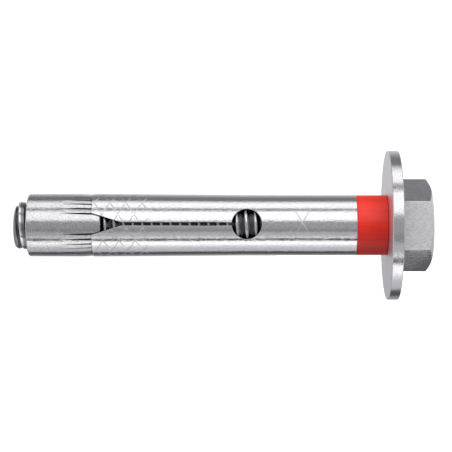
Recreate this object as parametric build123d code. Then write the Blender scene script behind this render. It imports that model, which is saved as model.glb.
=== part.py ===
from build123d import *
import os
from math import asin, degrees, radians, tan

# Sleeve anchor, in millimetres. It stands on its head: the origin is the middle of the head's
# end face, +Z runs up the screw to its tip, and one flat of the head faces -Y.
# Turning the screw draws the fluted cone nut into the slotted sleeve, whose legs then spread.

# Hexagon screw
thread_diameter = 9.8
head_across_flats = 15.8
head_height = 6.4
head_crown_diameter = 15.0
head_chamfer_angle = 30.0
head_fillet = 0.25
tip_length = 2.7
tip_chamfer = 0.9
tip_taper = 0.2
tip_taper_length = 4.0

# Washer
washer_diameter = 29.4
washer_thickness = 2.2
washer_clearance = 0.35
washer_edge_chamfer = 0.15

# Collapsible plastic ring
ring_length = 6.1
ring_step = 0.05
ring_clearance = 0.15
ring_edge_chamfer = 0.12

# Sleeve, rolled from sheet, with a V-shaped notch, a slot and a hole on each slot line. From the
# holes to the mouth its legs lean outwards, spread a little by the nut.
sleeve_length = 51.6
sleeve_wall = 0.8
sleeve_clearance = 0.26
leg_spread = 0.24
slot_count = 3
slot_width = 0.7
slot_turn = 2.2
notch_width = 4.3
notch_depth = 5.8
hole_diameter = 5.9
hole_height = 21.4
seam_width = 0.3

# Cone nut, with a tongue for each notch and V-shaped flutes between the tongues
nut_length = 12.8
nut_clearance = 0.05
nut_end_step = 0.04
nut_full_step = 0.02
nut_mouth_step = 0.18
nut_full_height = 3.0
nut_edge_chamfer = 0.2
nut_bore_chamfer = 0.4
nose_length = 1.7
nose_angle = 19.0
nose_clearance = 0.06
tongue_clearance = 0.24
tongue_end_chamfer = 0.15
flute_run = 6.2
flute_depth = 0.34
flute_half_angle = 30.0
flute_gaps = 8

# Radii that follow from the screw outwards
thread_radius = thread_diameter / 2
washer_bore_radius = thread_radius + washer_clearance
ring_bore_radius = thread_radius + ring_clearance
sleeve_bore_radius = thread_radius + sleeve_clearance
sleeve_radius = sleeve_bore_radius + sleeve_wall
mouth_radius = sleeve_radius + leg_spread
ring_radius = sleeve_radius - ring_step
nut_bore_radius = thread_radius + nut_clearance
nut_end_radius = mouth_radius - nut_end_step
nut_full_radius = mouth_radius - nut_full_step
nut_mouth_radius = mouth_radius - nut_mouth_step

# Heights of the joints between the pieces, from the floor up
clamp_z = head_height + washer_thickness
sleeve_z = clamp_z + ring_length
mouth_z = sleeve_z + sleeve_length
nut_end_z = mouth_z + nut_length
screw_end_z = nut_end_z + tip_length
nose_z = mouth_z - nose_length
hole_z = sleeve_z + hole_height

# Spare length by which a cutter passes the surface it cuts
overcut = 1.0


def slot_angle(index):
    """Turn about Z, from the -Y side, of the slot line with this number."""
    return slot_turn + index * 360.0 / slot_count


def notch_half_width(depth, inset=0.0):
    """Half the notch's width at a depth below the sleeve's mouth, less an inset from each edge."""
    taper = (notch_width - slot_width) / 2 / notch_depth
    return notch_width / 2 - taper * depth - inset


def facing_front(sketch, turn):
    """Solid of a sketch, drawn as seen from -Y, run from the axis out to the front and turned."""
    reach = mouth_radius + overcut
    return Rot(Z=turn) * extrude(Plane.XZ * sketch, reach)


def turned(outline):
    """Solid of revolution about Z of an outline of radius and height points."""
    return revolve(Plane.XZ * make_face(outline), Axis.Z)


def ring_blank(inner_radius, outer_radius, length, z):
    """Plain hollow cylinder that starts at a height."""
    outline = Polyline(
        (inner_radius, z),
        (outer_radius, z),
        (outer_radius, z + length),
        (inner_radius, z + length),
        close=True,
    )
    return turned(outline)


def circles_at(part, radius):
    """Circular edges of a turned part that have this radius."""
    circles = part.edges().filter_by(GeomType.CIRCLE)
    return circles.filter_by(lambda edge: abs(edge.radius - radius) < 1e-4)


def make_screw():
    """Hexagon head, chamfered at its end face, and a full-diameter shank that narrows at its tip."""
    prism = extrude(RegularPolygon(head_across_flats / 3**0.5, 6), head_height)
    crown_radius = head_crown_diameter / 2
    wide_radius = crown_radius + head_height / tan(radians(head_chamfer_angle))
    crown = Polyline(
        (0, 0),
        (crown_radius, 0),
        (wide_radius, head_height),
        (0, head_height),
        close=True,
    )
    shank = Polyline(
        (0, 0),
        (thread_radius, 0),
        (thread_radius, screw_end_z - tip_taper_length),
        (thread_radius - tip_taper, screw_end_z - tip_chamfer),
        (thread_radius - tip_taper - tip_chamfer, screw_end_z),
        (0, screw_end_z),
        close=True,
    )
    screw = (prism & turned(crown)) + turned(shank)
    root = circles_at(screw, thread_radius).sort_by(Axis.Z)[0]
    return fillet(root, head_fillet)


def make_washer():
    """Large plain washer with its outer edges broken."""
    washer = ring_blank(washer_bore_radius, washer_diameter / 2, washer_thickness, head_height)
    return chamfer(circles_at(washer, washer_diameter / 2), washer_edge_chamfer)


def make_ring():
    """Plastic ring that fills the gap between washer and sleeve."""
    ring = ring_blank(ring_bore_radius, ring_radius, ring_length, clamp_z)
    return chamfer(circles_at(ring, ring_radius), ring_edge_chamfer)


def notch_cutter(turn):
    """Notch, slot and hole on one slot line."""
    above = -overcut
    notch = make_face(Polyline(
        (notch_half_width(above), mouth_z - above),
        (notch_half_width(notch_depth), mouth_z - notch_depth),
        (-notch_half_width(notch_depth), mouth_z - notch_depth),
        (-notch_half_width(above), mouth_z - above),
        close=True,
    ))
    slot_length = mouth_z - notch_depth / 2 - hole_z
    slot = Pos(0, hole_z + slot_length / 2) * Rectangle(slot_width, slot_length)
    hole = Pos(0, hole_z) * Circle(hole_diameter / 2)
    return facing_front(notch + slot + hole, turn)


def nose_outline(gap):
    """Points down the nut's nose cone, set outwards by a gap, from above the mouth to below the nose."""
    slope = tan(radians(nose_angle))
    above = mouth_z + overcut
    below = mouth_z - (nut_mouth_radius + gap - nut_bore_radius) / slope
    return (nut_mouth_radius + gap + overcut * slope, above), (nut_bore_radius, below)


def make_sleeve():
    """Rolled tube, bevelled inside its mouth to take the nut's nose, with its cuts and seam."""
    tube = turned(Polyline(
        (sleeve_bore_radius, sleeve_z),
        (sleeve_radius, sleeve_z),
        (sleeve_radius, hole_z),
        (mouth_radius, mouth_z),
        (mouth_radius - sleeve_wall, mouth_z),
        (sleeve_bore_radius, hole_z),
        close=True,
    ))
    wide, narrow = nose_outline(nose_clearance)
    bevel = turned(Polyline(wide, narrow, (0, narrow[1]), (0, wide[1]), close=True))
    seam_height = hole_z - sleeve_z + overcut
    seam = Pos(0, hole_z - seam_height / 2) * Rectangle(seam_width, seam_height)
    cutters = [notch_cutter(slot_angle(index)) for index in range(slot_count)]
    cutters.append(facing_front(seam, slot_angle(1)))
    return tube - bevel - cutters


def nut_body():
    """Turned blank: a slightly tapered barrel that curves in towards the sleeve."""
    barrel_z = mouth_z + nut_full_height
    curve = nut_full_height**2 / (nut_full_radius - nut_mouth_radius) / 2
    turn = degrees(asin((barrel_z - nose_z - tongue_end_chamfer) / curve))
    arc = CenterArc((nut_full_radius - curve, barrel_z), curve, -turn, turn)
    tip = arc @ 0
    rest = Polyline(
        (nut_full_radius, barrel_z),
        (nut_end_radius, nut_end_z - nut_edge_chamfer),
        (nut_end_radius - nut_edge_chamfer, nut_end_z),
        (nut_bore_radius + nut_bore_chamfer, nut_end_z),
        (nut_bore_radius, nut_end_z - nut_bore_chamfer),
        (nut_bore_radius, nose_z),
        (tip.X - tongue_end_chamfer, nose_z),
        (tip.X, tip.Y),
    )
    return turned(arc + rest)


def tongue_space(turn):
    """Wedge that the notch leaves for one tongue, up past the nut's nose."""
    low = nose_length + overcut
    high = -2 * overcut
    wedge = Polyline(
        (notch_half_width(high, tongue_clearance), mouth_z - high),
        (notch_half_width(low, tongue_clearance), mouth_z - low),
        (-notch_half_width(low, tongue_clearance), mouth_z - low),
        (-notch_half_width(high, tongue_clearance), mouth_z - high),
        close=True,
    )
    return facing_front(make_face(wedge), turn)


def nose_cutter():
    """What lies outside the nose cone, but for the tongues."""
    wide, narrow = nose_outline(0.0)
    outside = mouth_radius + overcut
    ring = turned(Polyline(wide, narrow, (outside, narrow[1]), (outside, wide[1]), close=True))
    return ring - [tongue_space(slot_angle(index)) for index in range(slot_count)]


def flute_cutter(turn):
    """V-shaped groove that starts on the barrel and deepens towards the sleeve's mouth."""
    drop = nut_full_radius - nut_mouth_radius + flute_depth
    run = Vector(0, drop, -flute_run)
    length = run.length * (flute_run + nose_length + overcut) / flute_run
    start = Vector(0, -nut_full_radius, mouth_z + flute_run)
    reach = overcut * tan(radians(flute_half_angle))
    section = make_face(Polyline((0, 0), (reach, overcut), (-reach, overcut), close=True))
    across = Plane(origin=start, x_dir=(1, 0, 0), z_dir=run)
    return Rot(Z=turn) * extrude(across * section, length)


def flute_turns():
    """Turns of the flutes: the first and last of each sector run along the edges of the tongues."""
    edge = degrees(asin((notch_width - tongue_clearance) / 2 / nut_full_radius))
    sector = 360.0 / slot_count
    pitch = (sector - 2 * edge) / flute_gaps
    starts = [slot_angle(index) + edge for index in range(slot_count)]
    return [start + step * pitch for start in starts for step in range(flute_gaps + 1)]


def make_nut():
    """Cone nut: barrel, nose cone, tongues and flutes."""
    nut = nut_body() - nose_cutter()
    return nut - [flute_cutter(turn) for turn in flute_turns()]


def main():
    os.makedirs("parts", exist_ok=True)
    export_step(make_screw(), "parts/hexagon_screw.step")
    export_step(make_washer(), "parts/washer.step")
    export_step(make_ring(), "parts/plastic_ring.step")
    export_step(make_sleeve(), "parts/expansion_sleeve.step")
    export_step(make_nut(), "parts/cone_nut.step")


main()
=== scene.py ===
from collections import namedtuple
from math import asin, cos, degrees, inf, pi, radians, sin, sqrt, tan

import bmesh
import bpy
from mathutils import Matrix, Vector
from mathutils.geometry import delaunay_2d_cdt


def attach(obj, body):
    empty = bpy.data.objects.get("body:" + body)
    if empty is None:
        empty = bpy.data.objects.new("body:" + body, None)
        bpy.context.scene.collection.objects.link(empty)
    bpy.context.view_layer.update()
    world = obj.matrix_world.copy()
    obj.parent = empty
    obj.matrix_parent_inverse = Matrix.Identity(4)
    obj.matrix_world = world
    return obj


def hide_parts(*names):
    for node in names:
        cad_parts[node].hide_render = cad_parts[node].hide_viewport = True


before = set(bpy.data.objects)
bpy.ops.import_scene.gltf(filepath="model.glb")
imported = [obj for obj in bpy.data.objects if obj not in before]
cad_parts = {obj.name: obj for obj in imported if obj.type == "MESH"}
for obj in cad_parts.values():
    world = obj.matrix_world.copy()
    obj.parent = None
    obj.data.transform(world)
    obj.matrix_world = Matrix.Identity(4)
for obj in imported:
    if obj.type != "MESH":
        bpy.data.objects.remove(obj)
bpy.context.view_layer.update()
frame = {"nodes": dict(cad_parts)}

# Sleeve anchor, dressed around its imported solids. Sizes are in millimetres, as in the part's
# source, and are scaled to the frame's metres when a mesh is made. Angles are in degrees. The
# screw stands on its head on the floor with its tip up +Z, and the photograph shows it lying
# with the tip to the left, so +X is uppermost there.
millimetre = 0.001

# Hexagon head. What lies above it by more than the margin has the thread's finish.
head_across_flats = 15.8
head_height = 6.4
head_margin = 0.01
crown_radius = 7.5
head_chamfer_angle = 30.0
corner_radius = 0.14
edge_softening = 0.08

# Steps of the head's outline along half a flat and round a corner. The whole screw has as many
# columns of points as that outline, and the first is in the middle of a flat.
head_corners = 6
flat_steps = 6
corner_steps = 4
columns = head_corners * (2 * flat_steps + corner_steps)
head_half_sector = 180 / head_corners
first_column_turn = -head_half_sector
front_turn = -90.0

# Rows of points over the head's soft edges. At the end face they are (step from the crown's
# radius, height). At the bearing face they are shares of the softening, inwards and down, and
# the edge between chamfer and flats has one such share for both.
end_face_rows = ((-0.35, 0.0), (-0.08, 0.015), (0.12, 0.085))
chamfer_edge_share = 0.2
bearing_face_rows = ((0.0, 1.0), (0.3, 0.3), (1.0, 0.0))

# Shank, with the neck's fillet as (step out from the shank, step up from the head)
thread_radius = 4.9
neck_fillet = ((0.25, 0.0), (0.07, 0.07), (0.0, 0.25))
neck_gap = 0.5
screw_end_z = 81.8
tip_chamfer = 0.9
tip_taper = 0.2
tip_taper_length = 4.0
screw_sharp_angle = 50.0

# Thread. One of its crests passes the front at a set height.
thread_pitch = 1.84
thread_start_z = 9.4
thread_run_out = 2.4
crest_front_z = 36.19
spare_turns = 3

# One pitch of the thread from crest to crest, as (share of the pitch, depth). Inside the sleeve
# the thread is shallow and rounded. At the tip a narrow, deep groove and a broad crest follow
# each other. The one passes into the other between two heights.
inner_profile = (
    (0.0, 0.0),
    (0.05, 0.015),
    (0.1, 0.05),
    (0.18, 0.18),
    (0.27, 0.36),
    (0.37, 0.5),
    (0.48, 0.56),
    (0.59, 0.5),
    (0.7, 0.36),
    (0.8, 0.18),
    (0.9, 0.05),
    (0.95, 0.015),
)
tip_profile = (
    (0.09, 0.0),
    (0.12, 0.04),
    (0.16, 0.15),
    (0.2, 0.36),
    (0.25, 0.58),
    (0.3, 0.7),
    (0.36, 0.7),
    (0.42, 0.48),
    (0.48, 0.25),
    (0.56, 0.16),
    (0.82, 0.14),
    (0.95, 0.0),
)
tip_profile_run = (68.0, 78.0)

# The thread ends at the tip on the +X side, so its groove is deeper there, by this share
tip_lean = 0.5

# Body that the screw is cut to. It is wide between two heights and then rounded off, as (radius,
# height, offset towards -X). Slivers narrower than the last size are taken out after the cut.
envelope_radius = 12.0
envelope_low_z = -1.0
envelope_high_z = 72.0
tip_end_outline = (
    (4.9, 80.0, 0.0),
    (4.7, 80.8, 0.05),
    (4.4, 81.3, 0.2),
    (4.05, 81.65, 0.32),
    (3.7, 81.8, 0.34),
)
sliver_width = 0.002

# Sleeve. From the holes up its legs lean out towards the mouth.
sleeve_radius = 5.96
sleeve_wall = 0.8
mouth_radius = 6.2
sleeve_z = 14.7
mouth_z = 66.3
mouth_bore_radius = 6.08
nose_angle = 19.0
slot_turns = (2.2, 122.2, 242.2)
slot_half_width = 0.35
notch_half_width = 2.15
notch_depth = 5.8
hole_radius = 2.95
hole_z = 36.1
seam_half_width = 0.15
sleeve_edge = 0.04
shoulder_share = 0.8
sleeve_sharp_angle = 35.0

# Steps down a notch and round a hole, the strips that the sleeve's sheet is bent in, and how far
# the lines that divide the sheet pass its outline, up or down and round
notch_steps = 6
hole_steps = 24
strip_angle = 5.0
first_strip_turn = -235.0
overrun = 1.0
overrun_turn = 5.0

# Engraved grooves: diamonds round the sleeve's mouth, and one cross below the hole. Each pattern
# has a crossing, as (turn, height), a band of heights and a number of lines to either side. The
# cross has a share of the depth.
diamond_length = 3.125
diamond_turn = 48.93
diamond_lean = 0.0034
mouth_pattern = ((-4.1, 62.6), (55.3, 67.3), 12)
lower_pattern = ((5.0, 25.3), (23.6, 27.0), 0)
lower_share = 0.8
groove_half_width = 0.08
groove_depth = 0.05
groove_run_in = 0.4
Groove = namedtuple("Groove", "start end closed")

# Least square of a length, and distances on the unrolled sleeve that count as nothing
least_square = 1e-12
same_point = 1e-6
on_border = 1e-5

# What follows from the sizes above: the sleeve's joint is on its second slot line, and a degree
# round the unrolled sleeve is so many millimetres.
profile_rows = len(inner_profile)
thread_turns = int((screw_end_z - thread_start_z) / thread_pitch) + spare_turns
thread_rows = thread_turns * profile_rows
joint_turn = slot_turns[1]
low_turn = joint_turn - 360
sector = 360 / len(slot_turns)
notch_taper = (notch_half_width - slot_half_width) / notch_depth
nose_slope = tan(radians(nose_angle))
flat_scale = radians(sleeve_radius)

# Camera: place, aim and nearest distance in metres, lens and sensor in millimetres
camera_place = (-0.000168, -0.29896, 0.03472)
camera_aim = (-0.000168, 0.0, 0.04024)
camera_clip = 0.01
camera_lens = 120.58
camera_sensor = 36.0

# Steel. A share of its mottled tone is a cloud, and the rest is its grain. Noise is carried over
# from these ranges to the tones and the roughness.
cloud_size = 1.6
cloud_share = 0.25
cloud_detail = 4.0
grain_detail = 2.0
tone_range = (0.35, 0.65)
gloss_range = (0.3, 0.7)

# Painted shade: the steel is darkened where it is enclosed within this reach, from one share of
# openness to another, and has this tint there. A face counts as square to an axis above the last
# range.
cavity_reach = 0.7
open_range = (0.35, 0.9)
open_samples = 8
cavity_shade_tint = (0.9, 0.88, 1.0)
square_range = (0.85, 0.95)

# Thread's finish. The depths below its crests are those at which the painted highlight on the
# crests and the painted shade in the roots begin and end. Past the nut the screw is bare: it has
# no painted shade in its roots, and like the crests it has less painted cavity shade where it is
# enclosed.
crest_highlight_depths = (0.01, 0.1)
flank_roughness = 0.15
root_shade_depths = (0.2, 0.56)
nut_end_z = 79.1
bare_run_in = 0.2
bare_share = 0.6

# Finish of each steel piece, with tones as grey levels and feature sizes along X, Y and Z. Its
# cavity shade is the grey level of the painted shade where it is enclosed.
finishes = {
    "sleeve_look": {
        "tones": (0.72, 0.84),
        "roughness": (0.06, 0.13),
        "streak": (0.5, 0.5, 0.45),
        "streak_height": 0.026,
        "grain": (0.25, 0.25, 0.5),
        "grain_height": 0.012,
        "cavity_shade": 0.1,
    },
    "nut_look": {
        "tones": (0.57, 0.79),
        "roughness": (0.09, 0.16),
        "streak": (0.45, 0.45, 0.6),
        "streak_height": 0.022,
        "grain": (0.4, 0.4, 0.2),
        "grain_height": 0.02,
        "cavity_shade": 0.06,
    },
    "head_look": {
        "tones": (0.75, 0.97),
        "roughness": (0.1, 0.18),
        "streak": (0.3, 0.3, 1.2),
        "streak_height": 0.008,
        "grain": (0.24, 0.24, 0.8),
        "grain_height": 0.014,
        "cavity_shade": 0.3,
        "flats": 0.7,
    },
    # The thread is the same plated steel as the head: its darker tones are painted shade, and its crest
    # and root greys are the painted highlight and the painted shade.
    "thread_shaded_look": {
        "tones": (0.28, 0.38),
        "roughness": (0.1, 0.16),
        "streak": (0.8, 0.8, 0.8),
        "streak_height": 0.01,
        "grain": (0.2, 0.2, 0.2),
        "grain_height": 0.004,
        "cavity_shade": 0.06,
        "reach": 1.4,
        "crests": 0.86,
        "roots": 0.08,
    },
    "washer_look": {
        "tones": (0.68, 0.84),
        "roughness": (0.1, 0.18),
        "streak": (0.5, 0.5, 0.3),
        "streak_height": 0.02,
        "grain": (0.25, 0.25, 0.25),
        "grain_height": 0.008,
        "cavity_shade": 0.3,
        "faces": 0.45,
    },
}

# Red plastic, with fine streaks along the ring and a soft cloud
plastic_colours = ((0.49, 0.015, 0.007, 1.0), (0.62, 0.021, 0.01, 1.0))
plastic_streak = (0.22, 0.22, 30.0)
plastic_streak_roughness = 0.7
plastic_cloud_size = 2.0
plastic_cloud_share = 0.3
plastic_tone_range = (0.4, 0.6)
plastic_roughness = (0.32, 0.5)
plastic_specular = 0.35
plastic_relief = 0.004

# Brightness of the studio's walls by turn in degrees, from the camera's side towards the side that
# is uppermost in the photograph
studio_walls = (
    (-180, 0.45),
    (-146, 0.32),
    (-137, 0.09),
    (-119, 0.1),
    (-115.3, 0.6),
    (-104, 0.58),
    (-88, 0.75),
    (-76, 1.3),
    (-62, 1.35),
    (-60.5, 0.05),
    (-51.8, 0.05),
    (-50, 1.1),
    (-46, 1.0),
    (-44, 0.52),
    (-28, 0.52),
    (-24, 0.3),
    (-17, 0.28),
    (-13, 0.37),
    (14, 0.4),
    (18, 1.2),
    (30, 1.35),
    (53, 1.3),
    (56, 0.3),
    (64.5, 0.35),
    (68, 1.2),
    (86, 1.3),
    (99, 0.8),
    (103, 0.22),
    (124, 0.22),
    (136, 0.38),
    (180, 0.5),
)

# Towards the ceiling and the ground the walls fade, by a share at most, into one even level. The
# camera itself sees a plain white.
ceiling_fade = (0.12, 0.5)
ground_fade = (-0.8, -0.4)
fade_share = 0.82
even_level = 0.56
backdrop_level = 1.05

# Blue tint of dim and of bright light, and how it shifts red, green and blue
dim_tint = 0.045
bright_tint = 0.01
tint_shifts = (-0.3, -0.5, 1.0)

# Soft light, and the direction from the object towards it
light_energy = 3.0
light_angle = 60.0
light_direction = (0.74, -0.67, 0.0)

# Floor, with half its width in metres and its drop below the object in millimetres
floor_half_width = 2.0
floor_drop = 0.02
floor_grey = 0.9
floor_glow = 0.8


def clamp(share):
    """Share kept between 0 and 1."""
    return min(max(share, 0.0), 1.0)


def make_mesh(name, points, faces):
    """Mesh of points in millimetres."""
    mesh = bpy.data.meshes.new(name)
    mesh.from_pydata([Vector(point) * millimetre for point in points], [], faces)
    mesh.validate()
    return mesh


def soften(mesh, angle):
    """Smooth shading, with the edges sharper than the angle kept."""
    mesh.shade_smooth()
    mesh.set_sharp_from_angle(angle=radians(angle))


def add_piece(name, mesh, materials, body, node):
    """Object that stands for a solid, rides its body and takes its finish from a slot."""
    piece = bpy.data.objects.new(name, mesh)
    bpy.context.scene.collection.objects.link(piece)
    mesh.materials.clear()
    for material in materials:
        mesh.materials.append(material)
    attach(piece, body)
    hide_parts(node)
    return piece


def column_direction(column):
    """Unit vector of one of the screw's columns."""
    turn = radians(first_column_turn + 360 * column / columns)
    return Vector((cos(turn), sin(turn)))


def circle_row(radius, height, offset=0.0):
    """Row of points round the axis, or round one that is offset towards -X."""
    row = []
    for column in range(columns):
        x, y = column_direction(column) * radius
        row.append((x - offset, y, height))
    return row


def ring(row, column):
    """Index of a point in rows of columns that follow one first point."""
    return 1 + row * columns + column % columns


def ring_quad(row, column):
    """Face between two such rows."""
    return (ring(row, column), ring(row, column + 1), ring(row + 1, column + 1), ring(row + 1, column))


def head_outline():
    """Points of the hexagon with rounded corners, once round, from the middle of a flat."""
    flat = head_across_flats / 2
    middle = (flat - corner_radius) / cos(radians(head_half_sector))
    before = Vector((flat * cos(radians(-head_half_sector)), flat * sin(radians(-head_half_sector))))
    after = Vector((before.x, -before.y))
    arc = []
    for step in range(corner_steps + 1):
        turn = radians(head_half_sector * (2 * step / corner_steps - 1))
        arc.append(Vector((middle + corner_radius * cos(turn), corner_radius * sin(turn))))
    side = [before.lerp(arc[0], step / flat_steps) for step in range(flat_steps)]
    side += arc
    side += [arc[-1].lerp(after, step / flat_steps) for step in range(1, flat_steps)]
    points = []
    for corner in range(head_corners):
        turn = Matrix.Rotation(radians(2 * head_half_sector * corner), 2)
        points += [turn @ point for point in side]
    return points


def head_rows(outline):
    """Rows of points up the head, from its end face to its bearing face."""
    slope = tan(radians(head_chamfer_angle))
    edge = chamfer_edge_share * edge_softening
    rows = []
    for step, height in end_face_rows:
        rows.append([(*(point.normalized() * (crown_radius + step)), height) for point in outline])
    chamfer_row = []
    edge_row = []
    flat_row = []
    for point in outline:
        reach = point.length
        outward = point.normalized()
        height = (reach - crown_radius) * slope
        chamfer_row.append((*(outward * (reach - edge_softening)), height - edge_softening * slope))
        edge_row.append((*(outward * (reach - edge)), height + edge))
        flat_row.append((*point, height + edge_softening))
    rows += [chamfer_row, edge_row, flat_row]
    for inwards, down in bearing_face_rows:
        inset = inwards * edge_softening
        height = head_height - down * edge_softening
        rows.append([(*(point * (1 - inset / point.length)), height) for point in outline])
    return rows


def neck_rows():
    """Rows of points over the fillet under the head and up to the thread."""
    rows = [circle_row(thread_radius + out, head_height + up) for out, up in neck_fillet]
    rows.append(circle_row(thread_radius, thread_start_z - neck_gap))
    return rows


def smooth_share(value, low, high):
    """Share of the way from low to high, eased at both ends."""
    share = clamp((value - low) / (high - low))
    return share * share * (3 - 2 * share)


def thread_point_at(row, height, lean):
    """Height and radius of a point of the thread's profile, on the turn that starts at a height."""
    inner = inner_profile[row]
    tip = tip_profile[row]
    blend = smooth_share(height, *tip_profile_run)
    height += thread_pitch * (inner[0] + (tip[0] - inner[0]) * blend)
    depth = inner[1] + (tip[1] * (1 + lean) - inner[1]) * blend
    run_out = thread_start_z + thread_pitch
    depth *= smooth_share(height, run_out, run_out + thread_run_out)
    past = (height - screw_end_z + tip_taper_length) / (tip_taper_length - tip_chamfer)
    return height, thread_radius - tip_taper * clamp(past) - depth


def thread_points():
    """Points of the helical thread, column by column, up past the screw's end."""
    front_column = (front_turn - first_column_turn) / 360
    shift = (crest_front_z - thread_start_z) / thread_pitch - front_column
    shift -= int(shift) + 1
    points = []
    for column in range(columns):
        direction = column_direction(column)
        for row in range(thread_rows):
            turns = column / columns + row // profile_rows + shift + 1
            start = thread_start_z + thread_pitch * turns
            height, radius = thread_point_at(row % profile_rows, start, tip_lean * direction.x)
            points.append((*(direction * radius), height))
    return points


def thread_index(first, column, row):
    """Index of a thread point. After the last column comes the first one, a turn further up."""
    if column == columns:
        return first + row + profile_rows
    return first + column * thread_rows + row


def thread_faces(first):
    """Faces of the thread's flanks."""
    faces = []
    for column in range(columns):
        top = thread_rows - 1
        if column == columns - 1:
            top -= profile_rows
        for row in range(top):
            faces.append((
                thread_index(first, column, row),
                thread_index(first, column + 1, row),
                thread_index(first, column + 1, row + 1),
                thread_index(first, column, row + 1),
            ))
    return faces


def thread_start_faces(first, neck_row):
    """Faces from the neck's last row to the thread, and the step where its first turn closes."""
    faces = []
    for column in range(columns - 1):
        faces.append((
            ring(neck_row, column),
            ring(neck_row, column + 1),
            thread_index(first, column + 1, 0),
            thread_index(first, column, 0),
        ))
    step = [thread_index(first, 0, row) for row in range(profile_rows + 1)]
    faces.append((
        ring(neck_row, columns - 1),
        ring(neck_row, 0),
        *step,
        thread_index(first, columns - 1, 0),
    ))
    return faces


def thread_end_faces(first, apex):
    """Faces from the thread's last turn to a point on the axis."""
    last_row = thread_rows - 1
    rim = [thread_index(first, column, last_row) for column in range(columns)]
    for row in range(last_row - 1, last_row - 1 - profile_rows, -1):
        rim.append(thread_index(first, columns - 1, row))
    return [(here, there, apex) for here, there in zip(rim, rim[1:] + rim[:1])]


def screw_mesh():
    """Head, plain neck and helical thread as one closed mesh."""
    rows = head_rows(head_outline()) + neck_rows()
    points = [(0, 0, 0)]
    for row in rows:
        points += row
    first = len(points)
    points += thread_points()
    points.append((0, 0, thread_start_z + thread_pitch * thread_turns))
    faces = [(0, ring(0, column + 1), ring(0, column)) for column in range(columns)]
    for row in range(len(rows) - 1):
        faces += [ring_quad(row, column) for column in range(columns)]
    faces += thread_faces(first)
    faces += thread_start_faces(first, len(rows) - 1)
    faces += thread_end_faces(first, len(points) - 1)
    return make_mesh("threaded_screw", points, faces)


def tip_envelope():
    """Body that the screw is cut to: it ends in the tip's rounded chamfer and end face."""
    outline = [(envelope_radius, envelope_low_z, 0.0), (envelope_radius, envelope_high_z, 0.0)]
    outline += tip_end_outline
    points = [(0, 0, envelope_low_z)]
    for radius, height, offset in outline:
        points += circle_row(radius, height, offset)
    points.append((0, 0, screw_end_z))
    last = len(outline) - 1
    faces = []
    for column in range(columns):
        faces.append((0, ring(0, column + 1), ring(0, column)))
        faces.append((ring(last, column), ring(last, column + 1), len(points) - 1))
        faces += [ring_quad(row, column) for row in range(last)]
    mesh = make_mesh("tip_envelope", points, faces)
    return bpy.data.objects.new("tip_envelope", mesh)


def tidy_cut(mesh):
    """Take out the slivers that a cut leaves, and split its many-sided faces."""
    shape = bmesh.new()
    shape.from_mesh(mesh)
    bmesh.ops.dissolve_degenerate(shape, dist=sliver_width * millimetre, edges=shape.edges)
    many_sided = [face for face in shape.faces if len(face.verts) > 4]
    bmesh.ops.triangulate(shape, faces=many_sided, ngon_method="BEAUTY")
    shape.to_mesh(mesh)
    shape.free()


def cut_to(mesh, envelope):
    """Mesh of what both share."""
    scene = bpy.context.scene
    blank = bpy.data.objects.new("blank", mesh)
    for item in (blank, envelope):
        scene.collection.objects.link(item)
    cut = blank.modifiers.new("cut", "BOOLEAN")
    cut.operation = "INTERSECT"
    cut.solver = "EXACT"
    cut.object = envelope
    bpy.context.view_layer.update()
    shown = blank.evaluated_get(bpy.context.evaluated_depsgraph_get())
    result = bpy.data.meshes.new_from_object(shown)
    for item in (blank, envelope):
        bpy.data.objects.remove(item)
    tidy_cut(result)
    return result


def skin_radius_at(height):
    """Radius of the sleeve's outside, which widens from the holes to the mouth."""
    spread = (mouth_radius - sleeve_radius) * max(height - hole_z, 0.0) / (mouth_z - hole_z)
    return sleeve_radius + spread


def bore_radius_at(height):
    """Radius of the sleeve's inside, which widens in a cone at the mouth."""
    cone = mouth_bore_radius - (mouth_z - height) * nose_slope
    return max(skin_radius_at(height) - sleeve_wall, cone)


def turn_across(width, height):
    """Turn from a slot line to a point of the sleeve's outside at this distance across it."""
    return degrees(asin(width / skin_radius_at(height)))


def half_width(height, joint):
    """Half the open width, across a slot line, of the cuts at a height."""
    notch = notch_half_width - notch_taper * (mouth_z - height)
    rise = height - hole_z
    hole = sqrt(hole_radius ** 2 - rise ** 2) if abs(rise) < hole_radius else 0.0
    below = seam_half_width if joint else 0.0
    slot = slot_half_width if rise > 0 else below
    return max(notch, hole, slot)


def slot_side(inset, joint):
    """Points (half width, height) down one side of a slot line, from the mouth to below the hole."""
    lean = sqrt(1 + notch_taper ** 2) * inset
    tip_depth = notch_depth + (lean - inset) / notch_taper
    points = []
    for step in range(notch_steps + 1):
        depth = inset + (tip_depth - inset) * step / notch_steps
        points.append((notch_half_width + lean - notch_taper * depth, mouth_z - depth))
    radius = hole_radius + inset
    start = asin((slot_half_width + inset) / radius)
    end = pi - asin((seam_half_width + inset) / radius) if joint else pi
    for step in range(hole_steps + 1):
        turn = start + (end - start) * step / hole_steps
        points.append((radius * sin(turn), hole_z + radius * cos(turn)))
    if joint:
        points.append((seam_half_width + inset, sleeve_z + inset))
    return points


def sleeve_outline(inset):
    """Outline of the unrolled sleeve as (turn from the front, height), from the joint's foot on."""
    edge = slot_side(inset, True)
    outline = [(joint_turn - turn_across(*point), point[1]) for point in reversed(edge)]
    for turn in (slot_turns[0], slot_turns[2] - 360):
        side = slot_side(inset, False)
        outline += [(turn + turn_across(*point), point[1]) for point in side]
        outline += [(turn - turn_across(*point), point[1]) for point in reversed(side[:-1])]
    outline += [(low_turn + turn_across(*point), point[1]) for point in edge]
    return outline


def unrolled(point):
    """Place in millimetres on the unrolled sleeve of a (turn, height)."""
    return Vector((point[0] * flat_scale, point[1]))


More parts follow.
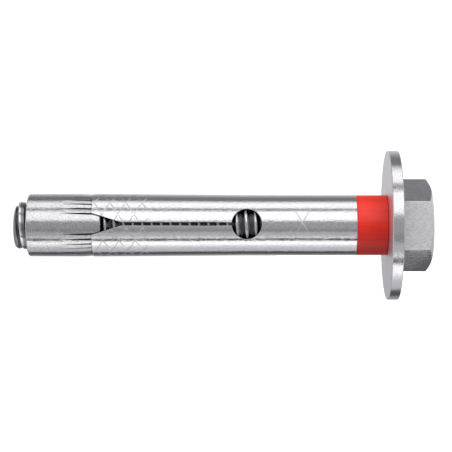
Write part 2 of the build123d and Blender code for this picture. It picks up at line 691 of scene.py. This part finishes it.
def engraved_grooves():
    """Centre lines of the grooves, with ends as (turn, height). Closed ones run out at both ends."""
    rise = diamond_length / diamond_turn
    grooves = []
    for (node_turn, node_z), band, count in (mouth_pattern, lower_pattern):
        for side in (-1, 1):
            slope = diamond_lean + side * rise
            for index in range(-count, count + 1):
                shift = side * index * diamond_length - node_z
                start, end = [(node_turn + (height + shift) / slope, height) for height in band]
                if max(start[0], end[0]) > low_turn and min(start[0], end[0]) < joint_turn:
                    grooves.append(Groove(start, end, band[1] < mouth_z))
    return grooves


def place_along(groove, point):
    """Distance of a point from a groove's line, its place along that line, and the line's length."""
    (start_turn, start_z), (end_turn, end_z) = groove.start, groove.end
    along = Vector(((end_turn - start_turn) * flat_scale, end_z - start_z))
    length = along.length
    along /= length
    rel = Vector(((point[0] - start_turn) * flat_scale, point[1] - start_z))
    return abs(rel.x * along.y - rel.y * along.x), rel.dot(along), length


def depth_at(point, grooves):
    """Depth of the grooves at a point of the unrolled sleeve."""
    deepest = 0.0
    for groove in grooves:
        away, along, length = place_along(groove, point)
        run_in = along / groove_run_in
        full = groove_depth
        if groove.closed:
            run_in = min(run_in, (length - along) / groove_run_in)
            full = groove_depth * lower_share
        half = groove_half_width * clamp(run_in)
        if away < half - on_border:
            deepest = max(deepest, full * half / groove_half_width * (1 - away / half))
    return deepest


def groove_edges(groove):
    """Border and centre lines of one groove, as three chains of (turn, height)."""
    start = unrolled(groove.start)
    end = unrolled(groove.end)
    along = (end - start).normalized()
    across = Vector((-along.y, along.x)) * groove_half_width
    stops = [start + along * groove_run_in, end]
    if groove.closed:
        stops[1] = end - along * groove_run_in
    chains = []
    for side in (-1, 0, 1):
        chain = [start] + [stop + across * side for stop in stops]
        if groove.closed:
            chain.append(end)
        chains.append([(point.x / flat_scale, point.y) for point in chain])
    return chains


def dividing_chains(grooves):
    """Lines that divide the unrolled sleeve: its bends, its changes of slope and its grooves."""
    chains = []
    for step in range(int(360 / strip_angle) + 1):
        turn = first_strip_turn + step * strip_angle
        if low_turn < turn < joint_turn:
            chains.append([(turn, sleeve_z - overrun), (turn, mouth_z + overrun)])
    lean = (mouth_radius - sleeve_radius) / (mouth_z - hole_z)
    cone_z = mouth_z - (mouth_bore_radius - mouth_radius + sleeve_wall) / (nose_slope - lean)
    for height in (cone_z, hole_z):
        chains.append([(low_turn - overrun_turn, height), (joint_turn + overrun_turn, height)])
    for groove in grooves:
        chains += groove_edges(groove)
    return chains


def flat_sleeve(outline, grooves):
    """Points (turn, height) and triangles of the unrolled sleeve."""
    coords = list(outline)
    edges = []
    for chain in dividing_chains(grooves):
        first = len(coords)
        coords += chain
        edges += [(first + step, first + step + 1) for step in range(len(chain) - 1)]
    border = list(range(len(outline)))
    corners = [Vector(point) for point in coords]
    flat, _, triangles, _, _, owners = delaunay_2d_cdt(corners, edges, [border], 1, same_point, True)
    kept = [triangle for triangle, owner in zip(triangles, owners) if owner]
    used = {}
    for triangle in kept:
        for corner in triangle:
            used.setdefault(corner, len(used))
    points = [tuple(flat[index]) for index in sorted(used, key=used.get)]
    return points, [[used[corner] for corner in triangle] for triangle in kept]


def rim_of(triangles):
    """Each point on the rim, with the next one along it."""
    sides = {(triangle[k], triangle[(k + 1) % 3]) for triangle in triangles for k in range(3)}
    return {here: there for here, there in sides if (there, here) not in sides}


def nearest_on(outline, point):
    """Index of the outline's edge that a point lies on, and the share along it."""
    spot = unrolled(point)
    best = (inf, 0, 0.0)
    for index, here in enumerate(outline):
        start = unrolled(here)
        edge = unrolled(outline[(index + 1) % len(outline)]) - start
        share = clamp((spot - start).dot(edge) / max(edge.length_squared, least_square))
        gap = (start + edge * share - spot).length
        if gap < best[0]:
            best = (gap, index, share)
    return best[1], best[2]


def sharp_places(rim, points, skin):
    """Place on the sharp edges of the cuts, as (turn, height), of each point on the skin's soft rim."""
    sharp = sleeve_outline(0.0)
    places = {}
    for index in rim:
        edge, share = nearest_on(skin, points[index])
        here = sharp[edge]
        there = sharp[(edge + 1) % len(sharp)]
        places[index] = tuple(low + (high - low) * share for low, high in zip(here, there))
    return places


def inside_turn(turn, height, radius):
    """Turn on the wall's inside: the cuts have parallel sides, so they span a wider angle there."""
    line = round((turn - slot_turns[0]) / sector)
    offset = turn - slot_turns[0] - line * sector
    joint = line % len(slot_turns) == 1
    width = half_width(height, joint)
    outer = turn_across(width, height)
    inner = degrees(asin(width / radius))
    half = sector / 2
    moved = half - (half - abs(offset)) * (half - inner) / (half - outer)
    return slot_turns[0] + line * sector + (moved if offset > 0 else -moved)


def sleeve_point(turn, height, radius):
    """Point in millimetres at a turn from the front."""
    return (radius * sin(radians(turn)), -radius * cos(radians(turn)), height)


def set_normals(mesh, plain):
    """Make the normals point straight outwards on the plain skin, and straight inwards in the bore.

    The skin's triangles come first in the mesh, and the bore's come next.
    """
    count = len(plain)
    normals = []
    for index, polygon in enumerate(mesh.polygons):
        for loop in polygon.loop_indices:
            place = mesh.vertices[mesh.loops[loop].vertex_index].co
            outward = Vector((place.x, place.y, 0)).normalized()
            if index < count and plain[index]:
                normals.append(outward)
            elif count <= index < 2 * count:
                normals.append(-outward)
            else:
                normals.append(Vector((0, 0, 0)))
    mesh.normals_split_custom_set(normals)


def sleeve_mesh():
    """Rolled sleeve with its cuts, softened edges and engraved diamonds."""
    skin = sleeve_outline(sleeve_edge)
    grooves = engraved_grooves()
    flat_points, triangles = flat_sleeve(skin, grooves)
    rim = rim_of(triangles)
    places = sharp_places(rim, flat_points, skin)
    depths = [depth_at(point, grooves) for point in flat_points]
    points = []
    for (turn, height), depth in zip(flat_points, depths):
        points.append(sleeve_point(turn, height, skin_radius_at(height) - depth))
    for index, place in enumerate(flat_points):
        turn, height = places.get(index, place)
        radius = bore_radius_at(height)
        points.append(sleeve_point(inside_turn(turn, height, radius), height, radius))
    shoulder = {}
    for index in rim:
        shoulder[index] = len(points)
        turn, height = places[index]
        points.append(sleeve_point(turn, height, skin_radius_at(height) - sleeve_edge * shoulder_share))
    count = len(flat_points)
    faces = [tuple(triangle) for triangle in triangles]
    faces += [tuple(corner + count for corner in reversed(triangle)) for triangle in triangles]
    for here, there in rim.items():
        faces.append((there, here, shoulder[here], shoulder[there]))
        faces.append((shoulder[there], shoulder[here], here + count, there + count))
    mesh = make_mesh("rolled_sleeve", points, faces)
    soften(mesh, sleeve_sharp_angle)
    set_normals(mesh, [not any(depths[corner] > 0 for corner in triangle) for triangle in triangles])
    return mesh


class Nodes:
    """Short way to build a material's or a world's node tree."""

    def __init__(self, tree):
        self.tree = tree
        tree.nodes.clear()

    def add(self, kind, settings=(), **sockets):
        """Node with these settings, and with its sockets linked or set."""
        node = self.tree.nodes.new(kind)
        for name, value in dict(settings).items():
            setattr(node, name, value)
        for name, value in sockets.items():
            self.join(node, name.replace("_", " "), value)
        return node

    def join(self, node, key, value):
        """Link a socket, given by its name or number, or set its value."""
        socket = node.inputs[key]
        if isinstance(value, bpy.types.NodeSocket):
            self.tree.links.new(value, socket)
        else:
            socket.default_value = value

    def math(self, operation, *values):
        """Result of one operation on numbers."""
        node = self.add("ShaderNodeMath", {"operation": operation})
        for index, value in enumerate(values):
            self.join(node, index, value)
        return node.outputs[0]

    def rest_of(self, share):
        """What is left of one."""
        return self.math("SUBTRACT", 1.0, share)

    def average(self, one, share, other):
        """Mean of two values, of which the first has this share."""
        parts = [self.math("MULTIPLY", one, share), self.math("MULTIPLY", other, 1 - share)]
        return self.math("ADD", *parts)

    def spread(self, value, low, high, to_low=0.0, to_high=1.0, smooth=False):
        """Value carried over from one range to another."""
        node = self.add(
            "ShaderNodeMapRange",
            {"interpolation_type": "SMOOTHSTEP" if smooth else "LINEAR"},
            From_Min=low,
            From_Max=high,
            To_Min=to_low,
            To_Max=to_high,
            Value=value,
        )
        return node.outputs[0]

    def mix(self, factor, one, other):
        """Colour between two others. Its sockets for colours go by number."""
        node = self.add("ShaderNodeMix", {"data_type": "RGBA"}, Factor=factor)
        self.join(node, 6, one)
        self.join(node, 7, other)
        return node.outputs[2]

    def noise(self, place, sizes, detail=3.0, roughness=0.6):
        """Noise of the piece's own coordinates, with features of these sizes in millimetres."""
        scales = [1 / (size * millimetre) for size in sizes]
        mapping = self.add("ShaderNodeMapping", Vector=place, Scale=scales)
        noise = self.add(
            "ShaderNodeTexNoise",
            Vector=mapping.outputs[0],
            Scale=1.0,
            Detail=detail,
            Roughness=roughness,
        )
        return noise.outputs["Fac"]

    def relief(self, height, size, **below):
        """Normal of a surface with relief of this size in millimetres."""
        distance = size * millimetre
        bump = self.add("ShaderNodeBump", Strength=1.0, Distance=distance, Height=height, **below)
        return bump.outputs[0]

    def below_crests(self, place):
        """Depth below the thread's crests, and height, both in millimetres."""
        parts = self.add("ShaderNodeSeparateXYZ", Vector=place).outputs
        squares = [self.math("MULTIPLY", parts[axis], parts[axis]) for axis in ("X", "Y")]
        radius = self.math("DIVIDE", self.math("SQRT", self.math("ADD", *squares)), millimetre)
        height = self.math("DIVIDE", parts["Z"], millimetre)
        taper_ends = (screw_end_z - tip_taper_length, screw_end_z - tip_chamfer)
        crest = self.spread(height, *taper_ends, thread_radius, thread_radius - tip_taper)
        return self.math("SUBTRACT", crest, radius), height

    def open_share(self, reach):
        """How open the surface is within this reach in millimetres, from 0 where it is enclosed."""
        settings = {"samples": open_samples}
        enclosed = self.add("ShaderNodeAmbientOcclusion", settings, Distance=reach * millimetre)
        return self.spread(enclosed.outputs["AO"], *open_range)

    def square_share(self, normal, axis):
        """How square a face is to an axis."""
        along = self.add("ShaderNodeSeparateXYZ", Vector=normal).outputs[axis]
        return self.spread(self.math("ABSOLUTE", along), *square_range)

    def thread_painted_light(self, place):
        """Shares of the painted highlight on the crests, of the bare run past the nut, and of the
        painted shade in the roots.
        """
        depth, height = self.below_crests(place)
        crest_highlight = self.spread(depth, *crest_highlight_depths, 1.0, 0.0)
        bare = self.spread(height, nut_end_z, nut_end_z + bare_run_in)
        deep = self.spread(depth, *root_shade_depths, smooth=True)
        return crest_highlight, bare, self.math("MULTIPLY", deep, self.rest_of(bare))

    def surface(self, **sockets):
        """Shader and output of a material."""
        shader = self.add("ShaderNodeBsdfPrincipled", **sockets)
        self.add("ShaderNodeOutputMaterial", Surface=shader.outputs[0])


def new_material(name):
    """Material and its empty node tree."""
    material = bpy.data.materials.new(name)
    material.use_nodes = True
    return material, Nodes(material.node_tree)


def grey(level):
    """Opaque grey."""
    return (level, level, level, 1.0)


def metal(name, tones, roughness, streak, streak_height, grain, grain_height, cavity_shade,
          reach=cavity_reach, faces=None, flats=None, crests=None, roots=None):
    """Zinc-plated steel: mottled tone, uneven gloss, fine relief, and painted shade where it is
    enclosed.

    Faces square to the axis, and flats square to the front, may have their own roughness. A
    thread has a painted highlight on its crests, rougher flanks and painted shade in its roots.
    """
    material, nodes = new_material(name)
    coordinates = nodes.add("ShaderNodeTexCoord").outputs
    place = coordinates["Object"]
    cloud = nodes.noise(place, (cloud_size, cloud_size, cloud_size), detail=cloud_detail)
    lines = nodes.noise(place, streak)
    fine = nodes.noise(place, grain, detail=grain_detail)
    tone = nodes.average(cloud, cloud_share, fine)
    colour = nodes.mix(nodes.spread(tone, *tone_range), grey(tones[0]), grey(tones[1]))
    gloss = nodes.spread(lines, *gloss_range, *roughness)
    open_share = nodes.open_share(reach)
    if crests is not None:
        crest_highlight, bare, root_shade = nodes.thread_painted_light(place)
        # Painted highlight on the crests and painted shade in the roots; on the crests and past the nut
        # the painted cavity shade is partly lifted.
        colour = nodes.mix(crest_highlight, colour, grey(crests))
        colour = nodes.mix(root_shade, colour, grey(roots))
        shade_lifted = nodes.math("MULTIPLY", nodes.math("MAXIMUM", bare, crest_highlight), bare_share)
        open_share = nodes.math("MAXIMUM", open_share, shade_lifted)
        flank = nodes.math("MULTIPLY", nodes.rest_of(crest_highlight), flank_roughness)
        gloss = nodes.math("ADD", gloss, flank)
    # Painted shade: where the surface is enclosed its colour goes towards the dark, tinted cavity
    # level.
    dark = (*(cavity_shade * part for part in cavity_shade_tint), 1.0)
    colour = nodes.mix(open_share, dark, colour)
    for axis, rough in (("Z", faces), ("Y", flats)):
        if rough is not None:
            square = nodes.square_share(coordinates["Normal"], axis)
            gloss = nodes.math("ADD", gloss, nodes.math("MULTIPLY", square, rough - roughness[1]))
    relief = nodes.relief(fine, grain_height, Normal=nodes.relief(lines, streak_height))
    nodes.surface(Base_Color=colour, Roughness=gloss, Normal=relief, Metallic=1.0)
    return material


def red_plastic():
    """Red moulded plastic with fine streaks along the ring."""
    material, nodes = new_material("red_plastic_look")
    place = nodes.add("ShaderNodeTexCoord").outputs["Object"]
    streaks = nodes.noise(place, plastic_streak, roughness=plastic_streak_roughness)
    cloud = nodes.noise(place, (plastic_cloud_size, plastic_cloud_size, plastic_cloud_size))
    tone = nodes.average(cloud, plastic_cloud_share, streaks)
    nodes.surface(
        Base_Color=nodes.mix(nodes.spread(tone, *plastic_tone_range), *plastic_colours),
        Roughness=nodes.spread(streaks, *gloss_range, *plastic_roughness),
        Specular_IOR_Level=plastic_specular,
        Normal=nodes.relief(streaks, plastic_relief),
    )
    return material


def wall_colour(level):
    """Faintly blue where it is dim, and neutral where it is bright."""
    tint = dim_tint if level < 1 else bright_tint
    return (*(level * (1 + tint * shift) for shift in tint_shifts), 1.0)


def studio_world():
    """Pale surroundings with upright light and dark walls, which the camera sees as plain white."""
    world = bpy.data.worlds.new("studio")
    bpy.context.scene.world = world
    world.use_nodes = True
    nodes = Nodes(world.node_tree)
    place = nodes.add("ShaderNodeTexCoord").outputs["Generated"]
    parts = nodes.add("ShaderNodeSeparateXYZ", Vector=place).outputs
    turn = nodes.math("ARCTAN2", parts["X"], nodes.math("MULTIPLY", parts["Y"], -1.0))
    walls = nodes.add("ShaderNodeValToRGB", Fac=nodes.spread(turn, -pi, pi))
    stops = walls.color_ramp.elements
    for index, (angle, level) in enumerate(studio_walls):
        stop = stops[0] if index == 0 else stops.new((angle + 180) / 360)
        stop.color = wall_colour(level)
    stops.remove(stops[-1])
    ceiling = nodes.spread(parts["Z"], *ceiling_fade, smooth=True)
    ground = nodes.spread(parts["Z"], *ground_fade, 1.0, 0.0, smooth=True)
    away = nodes.math("MULTIPLY", nodes.math("MAXIMUM", ceiling, ground), fade_share)
    around = nodes.mix(away, walls.outputs[0], wall_colour(even_level))
    seen = nodes.add("ShaderNodeLightPath").outputs["Is Camera Ray"]
    colour = nodes.mix(seen, around, grey(backdrop_level))
    background = nodes.add("ShaderNodeBackground", Color=colour, Strength=1.0)
    nodes.add("ShaderNodeOutputWorld", Surface=background.outputs[0])


def floor():
    """Plain pale floor that shows only itself: the object reflects the studio and not the floor."""
    mesh = bpy.data.meshes.new("floor")
    signs = ((-1, -1), (1, -1), (1, 1), (-1, 1))
    corners = [(x * floor_half_width, y * floor_half_width, 0) for x, y in signs]
    mesh.from_pydata(corners, [], [(0, 1, 2, 3)])
    ground = bpy.data.objects.new("floor", mesh)
    ground.location.z = -floor_drop * millimetre
    bpy.context.scene.collection.objects.link(ground)
    material, nodes = new_material("floor_white")
    nodes.surface(
        Base_Color=grey(floor_grey),
        Roughness=1.0,
        Specular_IOR_Level=0.0,
        Emission_Color=grey(1.0),
        Emission_Strength=floor_glow,
    )
    mesh.materials.append(material)
    ground.visible_glossy = False
    ground.visible_diffuse = False
    ground.visible_shadow = False


def soft_light():
    """Broad light from above and in front, as the photograph has it, that metal doesn't mirror."""
    data = bpy.data.lights.new("soft_light", "SUN")
    data.energy = light_energy
    data.angle = radians(light_angle)
    item = bpy.data.objects.new("soft_light", data)
    item.rotation_euler = Vector(light_direction).to_track_quat("Z", "Y").to_euler()
    item.visible_glossy = False
    bpy.context.scene.collection.objects.link(item)


def camera():
    """Camera at the photograph's viewing angle, on its side, so that the tip is on the left."""
    data = bpy.data.cameras.new("camera")
    data.lens = camera_lens
    data.sensor_width = camera_sensor
    data.clip_start = camera_clip
    item = bpy.data.objects.new("camera", data)
    bpy.context.scene.collection.objects.link(item)
    place = Vector(camera_place)
    back = (place - Vector(camera_aim)).normalized()
    up = (Vector((1, 0, 0)) - back * back.x).normalized()
    side = up.cross(back)
    item.matrix_world = Matrix.Translation(place) @ Matrix((side, up, back)).transposed().to_4x4()
    bpy.context.scene.camera = item


def dress():
    """Materials for every piece, and finer meshes in place of the screw and the sleeve."""
    looks = {name: metal(name, **finish) for name, finish in finishes.items()}
    nodes = frame["nodes"]
    nodes["cone_nut"].material_slots[0].material = looks["nut_look"]
    nodes["washer"].material_slots[0].material = looks["washer_look"]
    nodes["plastic_ring"].material_slots[0].material = red_plastic()
    screw = cut_to(screw_mesh(), tip_envelope())
    soften(screw, screw_sharp_angle)
    screw_looks = [looks["head_look"], looks["thread_shaded_look"]]
    add_piece("threaded_screw", screw, screw_looks, "screw", "hexagon_screw")
    for polygon in screw.polygons:
        polygon.material_index = int(polygon.center.z > (head_height + head_margin) * millimetre)
    sleeve = sleeve_mesh()
    sleeve_looks = [looks["sleeve_look"]]
    add_piece("rolled_sleeve", sleeve, sleeve_looks, "sleeve", "expansion_sleeve")


def main():
    bpy.context.scene.view_settings.view_transform = "Standard"
    camera()
    studio_world()
    floor()
    soft_light()
    dress()


main()
